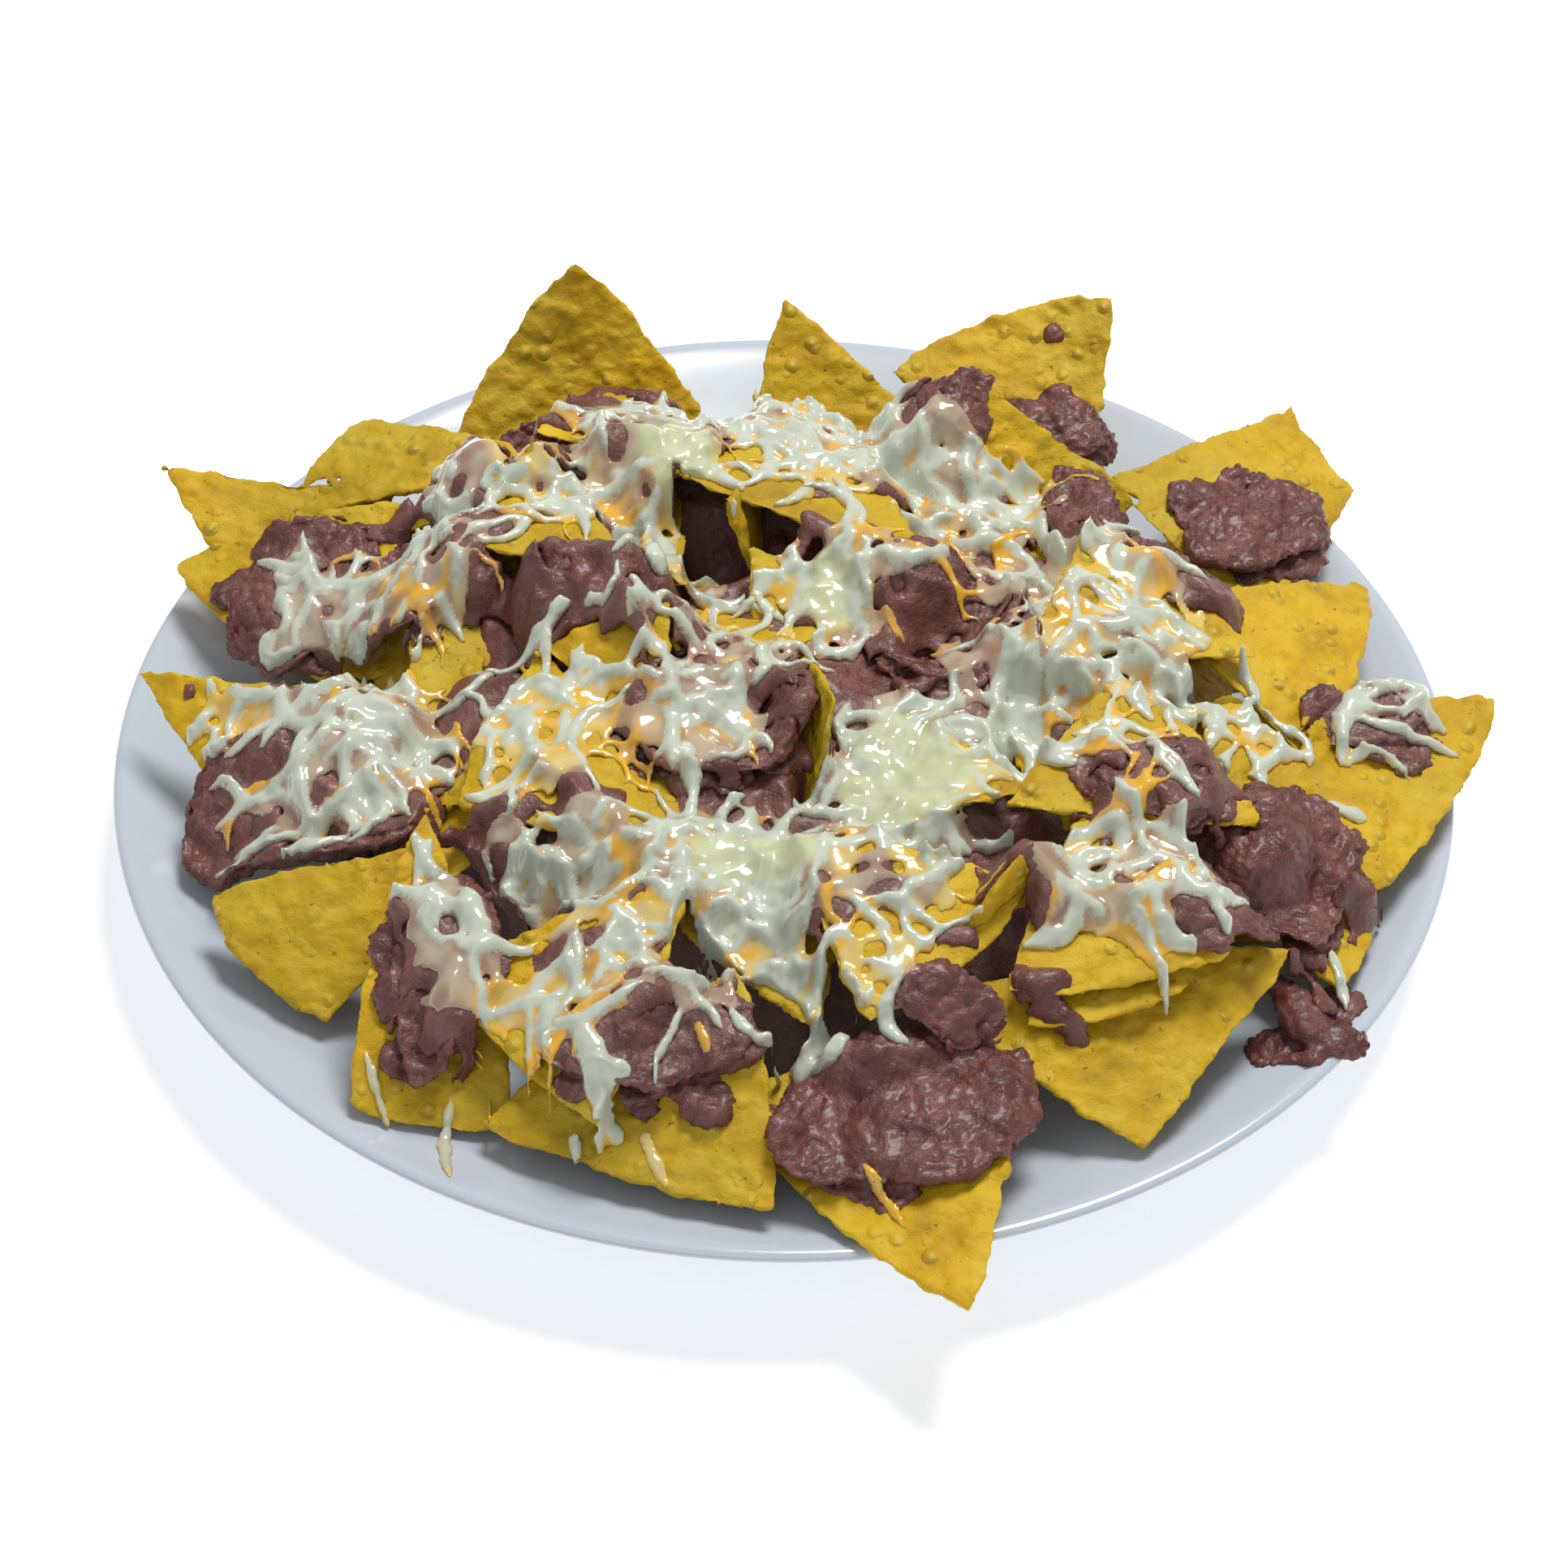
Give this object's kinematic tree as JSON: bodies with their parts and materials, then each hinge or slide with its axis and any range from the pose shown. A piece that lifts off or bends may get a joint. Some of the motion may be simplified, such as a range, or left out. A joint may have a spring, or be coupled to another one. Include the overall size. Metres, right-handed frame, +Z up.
{
  "type": "plate of nachos",
  "caption": "Round dinner plate heaped with triangular tortilla chips, refried beans and melted shredded cheese, chips fanned out over the rim.",
  "frame": {"origin": "centre of the whole part's box in plan, at the level the plate's foot stands on", "axes": "+Z up, -Y toward the diner, X from left to right as the diner sees it"},
  "size_m": [0.2774, 0.2846, 0.0692],
  "materials": {
    "glaze": "gloss",
    "tortilla": "matte",
    "refried_beans": "satin",
    "melted_cheese": "gloss",
    "heap_core": "satin"
  },
  "bodies": {
    "root": {"bean_back": "refried_beans", "bean_back_drip": "refried_beans", "bean_back_left": "refried_beans", "bean_back_right": "refried_beans", "bean_cave": "refried_beans", "bean_centre": "refried_beans", "bean_crater": "refried_beans", "bean_dome": "refried_beans", "bean_far_right": "refried_beans", "bean_front_left": "refried_beans", "bean_front_lip": "refried_beans", "bean_front_mid": "refried_beans", "bean_front_slab": "refried_beans", "bean_left_slab": "refried_beans", "bean_left_top": "refried_beans", "bean_left_up": "refried_beans", "bean_ridge": "refried_beans", "bean_right_low": "refried_beans", "bean_right_mid": "refried_beans", "bean_right_oval": "refried_beans", "bean_right_slab": "refried_beans", "bean_spill": "refried_beans", "cheese_back": "melted_cheese", "cheese_front": "melted_cheese", "cheese_left": "melted_cheese", "cheese_right": "melted_cheese", "chip_back_bed": "tortilla", "chip_back_cover": "tortilla", "chip_back_left_tall": "tortilla", "chip_back_right_big": "tortilla", "chip_back_small": "tortilla", "chip_back_stand": "tortilla", "chip_cave_roof": "tortilla", "chip_centre_face": "tortilla", "chip_centre_left": "tortilla", "chip_centre_stand": "tortilla", "chip_crest": "tortilla", "chip_dome": "tortilla", "chip_fold": "tortilla", "chip_fragment": "tortilla", "chip_front_bed": "tortilla", "chip_front_left_tall": "tortilla", "chip_front_mid": "tortilla", "chip_front_mid_top": "tortilla", "chip_front_right": "tortilla", "chip_front_right_thin": "tortilla", "chip_front_right_under": "tortilla", "chip_front_tip": "tortilla", "chip_left_back": "tortilla", "chip_left_low": "tortilla", "chip_left_mid": "tortilla", "chip_left_point": "tortilla", "chip_left_up": "tortilla", "chip_ridge": "tortilla", "chip_right_broken": "tortilla", "chip_right_curl": "tortilla", "chip_right_far": "tortilla", "chip_right_upper": "tortilla", "heap_core": "heap_core", "plate": "glaze"}
  },
  "joints": []
}
